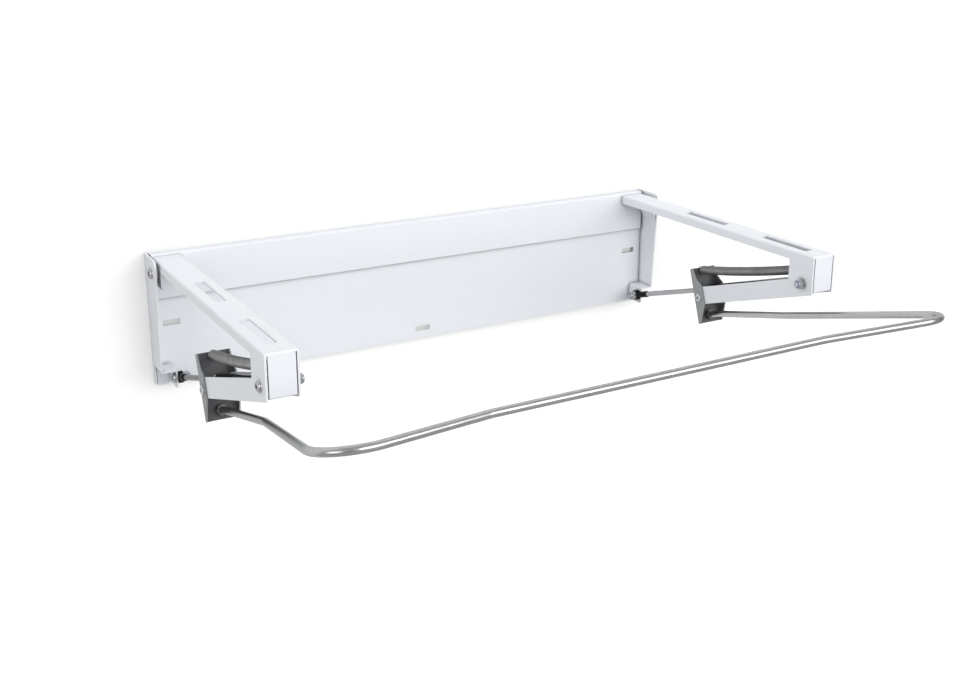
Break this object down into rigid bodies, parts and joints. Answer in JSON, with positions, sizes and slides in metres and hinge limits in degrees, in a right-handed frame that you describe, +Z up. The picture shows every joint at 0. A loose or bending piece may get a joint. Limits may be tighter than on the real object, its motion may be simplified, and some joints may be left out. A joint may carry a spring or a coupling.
{
  "type": "drop leaf table bracket",
  "caption": "Wall bracket for a drop leaf table: two tilting arms on a wall plate, gas springs, sprung release brackets and a bent handle bar.",
  "frame": {"origin": "on the wall, midway between the two upper wall slots", "axes": "+X along the wall to the right seen from the room, +Y into the wall, +Z up"},
  "size_m": [0.8764, 0.6818, 0.1954],
  "materials": {
    "white_powder_coat": "satin powder coat",
    "release_bracket_steel": "grey satin",
    "bright_fastener_steel": "bright zinc",
    "polished_handle_steel": "polished",
    "gas_spring_black": "black enamel",
    "rod_steel": "hard chromed",
    "rod_end_black": "black",
    "bush_plastic": "natural",
    "seal_rubber": "matt",
    "spring_steel": "drawn wire"
  },
  "bodies": {
    "wall_mount": {"wall_plate": "white_powder_coat", "top_rail": "white_powder_coat", "right_side_bracket": "white_powder_coat", "right_pivot_bolt": "bright_fastener_steel", "right_pivot_bush": "bush_plastic", "right_pivot_washer": "bright_fastener_steel", "right_pivot_nut": "bright_fastener_steel", "left_side_bracket": "white_powder_coat", "left_pivot_bolt": "bright_fastener_steel", "left_pivot_bush": "bush_plastic", "left_pivot_washer": "bright_fastener_steel", "left_pivot_nut": "bright_fastener_steel"},
    "arms": {"right_arm": "white_powder_coat", "right_box_bolt": "bright_fastener_steel", "right_box_bolt_washer": "bright_fastener_steel", "right_box_bolt_nut": "bright_fastener_steel", "right_box_bolt_spacers": "bush_plastic", "right_release_bracket_rivets": "bright_fastener_steel", "right_coil_spring": "spring_steel", "right_spring_anchor_pin": "bright_fastener_steel", "left_arm": "white_powder_coat", "left_box_bolt": "bright_fastener_steel", "left_box_bolt_washer": "bright_fastener_steel", "left_box_bolt_nut": "bright_fastener_steel", "left_box_bolt_spacers": "bush_plastic", "left_release_bracket_rivets": "bright_fastener_steel", "left_coil_spring": "spring_steel", "left_spring_anchor_pin": "bright_fastener_steel"},
    "release_lever": {"handle_bar": "polished_handle_steel", "right_release_bracket": "release_bracket_steel", "right_handle_nuts": "bright_fastener_steel", "left_release_bracket": "release_bracket_steel", "left_handle_nuts": "bright_fastener_steel"},
    "right_gas_cylinder": {"right_gas_spring_tube": "gas_spring_black", "right_gas_spring_front_eye": "bright_fastener_steel", "right_gas_spring_rod_guide": "seal_rubber"},
    "right_gas_rod": {"right_gas_spring_rod": "rod_steel", "right_gas_spring_piston": "bush_plastic", "right_gas_spring_rod_end": "rod_end_black", "right_rod_end_bolt": "bright_fastener_steel", "right_rod_end_washer": "bright_fastener_steel", "right_rod_end_nut": "bright_fastener_steel"},
    "left_gas_cylinder": {"left_gas_spring_tube": "gas_spring_black", "left_gas_spring_front_eye": "bright_fastener_steel", "left_gas_spring_rod_guide": "seal_rubber"},
    "left_gas_rod": {"left_gas_spring_rod": "rod_steel", "left_gas_spring_piston": "bush_plastic", "left_gas_spring_rod_end": "rod_end_black", "left_rod_end_bolt": "bright_fastener_steel", "left_rod_end_washer": "bright_fastener_steel", "left_rod_end_nut": "bright_fastener_steel"}
  },
  "joints": [
    {"name": "arm_tilt", "type": "hinge", "parent": "wall_mount", "child": "arms", "pos_m": [0, -0.036, 0.0825], "axis": [1, 0, 0], "range_deg": [0, 30]},
    {"name": "release_lift", "type": "hinge", "parent": "arms", "child": "release_lever", "pos_m": [0, -0.2323, -0.0231], "axis": [-1, 0, 0], "range_deg": [0, 5], "stiffness_Nm_per_rad": 8, "springref_deg": -20.05, "deforming": ["right_coil_spring", "left_coil_spring"]},
    {"name": "right_gas_spring_swivel", "type": "hinge", "parent": "arms", "child": "right_gas_cylinder", "pos_m": [0.4, -0.4525, 0.0569], "axis": [1, 0, 0], "range_deg": [-0.91, 0]},
    {"name": "right_gas_spring_stroke", "type": "slide", "parent": "right_gas_cylinder", "child": "right_gas_rod", "axis": [0, -0.9536, 0.3011], "range_m": [0, 0.0812]},
    {"name": "left_gas_spring_swivel", "type": "hinge", "parent": "arms", "child": "left_gas_cylinder", "pos_m": [-0.4, -0.4525, 0.0569], "axis": [1, 0, 0], "range_deg": [-0.91, 0]},
    {"name": "left_gas_spring_stroke", "type": "slide", "parent": "left_gas_cylinder", "child": "left_gas_rod", "axis": [0, -0.9536, 0.3011], "range_m": [0, 0.0812]}
  ],
  "couplings": [
    {"joint": "right_gas_spring_swivel", "follows": "arm_tilt", "ratio": -0.03},
    {"joint": "right_gas_spring_stroke", "follows": "arm_tilt", "m_per_rad": 0.1543},
    {"joint": "left_gas_spring_swivel", "follows": "arm_tilt", "ratio": -0.03},
    {"joint": "left_gas_spring_stroke", "follows": "arm_tilt", "m_per_rad": 0.1543}
  ]
}
